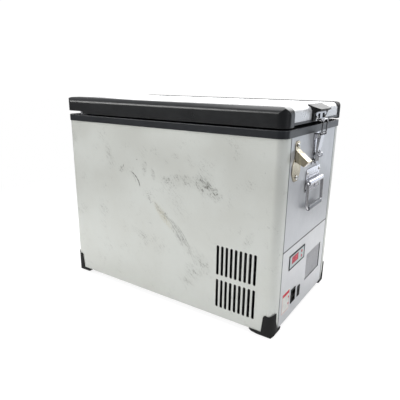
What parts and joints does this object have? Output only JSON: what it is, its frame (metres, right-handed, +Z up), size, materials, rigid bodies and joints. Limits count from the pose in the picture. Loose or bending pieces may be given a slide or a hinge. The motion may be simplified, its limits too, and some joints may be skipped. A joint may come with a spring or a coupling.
{
  "type": "compressor cooler fridge",
  "caption": "Portable chest fridge: steel cabinet on corner feet with a hinged lid, toggle latch, drop handles, bottle opener, control panel and a compressor unit behind side vents.",
  "frame": {"origin": "on the floor, at the middle of the whole object's outline", "axes": "+Z up, +X along the length towards the control end, -Y towards the front long side"},
  "size_m": [0.7499, 0.4058, 0.5643],
  "materials": {
    "casing_steel": "satin",
    "end_steel": "satin",
    "pan_steel": "matte",
    "lid_steel": "satin",
    "frame_plastic": "satin",
    "rail_plastic": "satin",
    "foot_plastic": "satin",
    "black_plastic": "satin",
    "foam": "matte",
    "liner_plastic": "satin",
    "evaporator_aluminium": "satin",
    "lamp_lens": "gloss",
    "mesh_plastic": "matte",
    "display_face": "gloss",
    "red_window": "gloss",
    "red_button": "satin",
    "board": "satin",
    "contact_brass": "polished",
    "label": "satin",
    "compressor_black": "gloss",
    "condenser_black": "satin",
    "rubber": "matte",
    "cast_aluminium": "matte",
    "copper": "satin",
    "bright_steel": "polished",
    "grip_steel": "satin",
    "opener_steel": "polished",
    "chrome": "polished",
    "screw_steel": "satin"
  },
  "bodies": {
    "cabinet": {"front_side_panel": "casing_steel", "rear_side_panel": "casing_steel", "end_panel_left": "end_steel", "end_panel_right": "end_steel", "control_cover": "end_steel", "base_pan": "pan_steel", "top_collar": "frame_plastic", "insulation_foam": "foam", "inner_liner": "liner_plastic", "evaporator": "evaporator_aluminium", "interior_light": "lamp_lens", "corner_foot_front_right": "foot_plastic", "corner_foot_rear_right": "foot_plastic", "corner_foot_front_left": "foot_plastic", "corner_foot_rear_left": "foot_plastic", "vent_mesh": "mesh_plastic", "display_bezel": "black_plastic", "display_housing": "display_face", "display_window": "red_window", "control_board": "board", "power_socket": "black_plastic", "socket_pins": "contact_brass", "switch_housing": "black_plastic", "label_plate": "label", "compressor": "compressor_black", "compressor_mounts": "rubber", "compressor_electronics": "cast_aluminium", "condenser": "condenser_black", "fan_shroud": "black_plastic", "refrigerant_tubing": "copper", "power_supply": "cast_aluminium", "handle_plate_right": "bright_steel", "handle_plate_left": "bright_steel", "bottle_opener": "opener_steel", "cabinet_screws": "screw_steel", "latch_base": "bright_steel", "hinge_leaf_cabinet": "bright_steel", "hinge_pins": "screw_steel"},
    "lid": {"lid_front_rail": "rail_plastic", "lid_rear_rail": "rail_plastic", "lid_top_sheet": "lid_steel", "lid_end_trims": "frame_plastic", "lid_inner_liner": "liner_plastic", "lid_foam": "foam", "lid_gasket": "rubber", "lid_bracket": "black_plastic", "lid_screws": "screw_steel", "keeper": "chrome", "hinge_leaf_lid": "bright_steel"},
    "latch_lever": {"latch_lever": "chrome", "latch_pin": "screw_steel"},
    "latch_loop": {"latch_loop": "chrome"},
    "handle_right": {"handle_bail_right": "bright_steel", "handle_grip_right": "grip_steel"},
    "handle_left": {"handle_bail_left": "bright_steel", "handle_grip_left": "grip_steel"},
    "fan": {"fan_rotor": "black_plastic"},
    "button_up": {"button_up": "red_button"},
    "button_down": {"button_down": "red_button"},
    "rocker": {"switch_rocker": "black_plastic"}
  },
  "joints": [
    {"name": "lid_hinge", "type": "hinge", "parent": "cabinet", "child": "lid", "pos_m": [-0.3666, 0, 0.5163], "axis": [0, -1, 0], "range_deg": [0, 95]},
    {"name": "latch_lever_hinge", "type": "hinge", "parent": "cabinet", "child": "latch_lever", "pos_m": [0.3547, 0, 0.488], "axis": [0, -1, 0], "range_deg": [0, 95]},
    {"name": "latch_loop_hinge", "type": "hinge", "parent": "latch_lever", "child": "latch_loop", "pos_m": [0.36105, 0, 0.49367], "axis": [0, 1, 0], "range_deg": [0, 126.5]},
    {"name": "handle_right_hinge", "type": "hinge", "parent": "cabinet", "child": "handle_right", "pos_m": [0.3507, 0, 0.372], "axis": [0, -1, 0], "range_deg": [0, 90]},
    {"name": "handle_left_hinge", "type": "hinge", "parent": "cabinet", "child": "handle_left", "pos_m": [-0.3673, 0, 0.372], "axis": [0, 1, 0], "range_deg": [0, 90]},
    {"name": "fan_spin", "type": "hinge", "parent": "cabinet", "child": "fan", "pos_m": [0.2402, -0.15, 0.0855], "axis": [0, 1, 0], "continuous": true},
    {"name": "button_up_press", "type": "slide", "parent": "cabinet", "child": "button_up", "axis": [-1, 0, 0], "range_m": [0, 0.001], "stiffness_N_per_m": 300, "springref_m": -0.0005},
    {"name": "button_down_press", "type": "slide", "parent": "cabinet", "child": "button_down", "axis": [-1, 0, 0], "range_m": [0, 0.001], "stiffness_N_per_m": 300, "springref_m": -0.0005},
    {"name": "switch_rock", "type": "hinge", "parent": "cabinet", "child": "rocker", "pos_m": [0.3387, -0.0325, 0.0655], "axis": [0, 1, 0], "range_deg": [-8, 8]}
  ],
  "couplings": [
    {"joint": "latch_loop_hinge", "follows": "latch_lever_hinge", "ratio": 1.33}
  ]
}
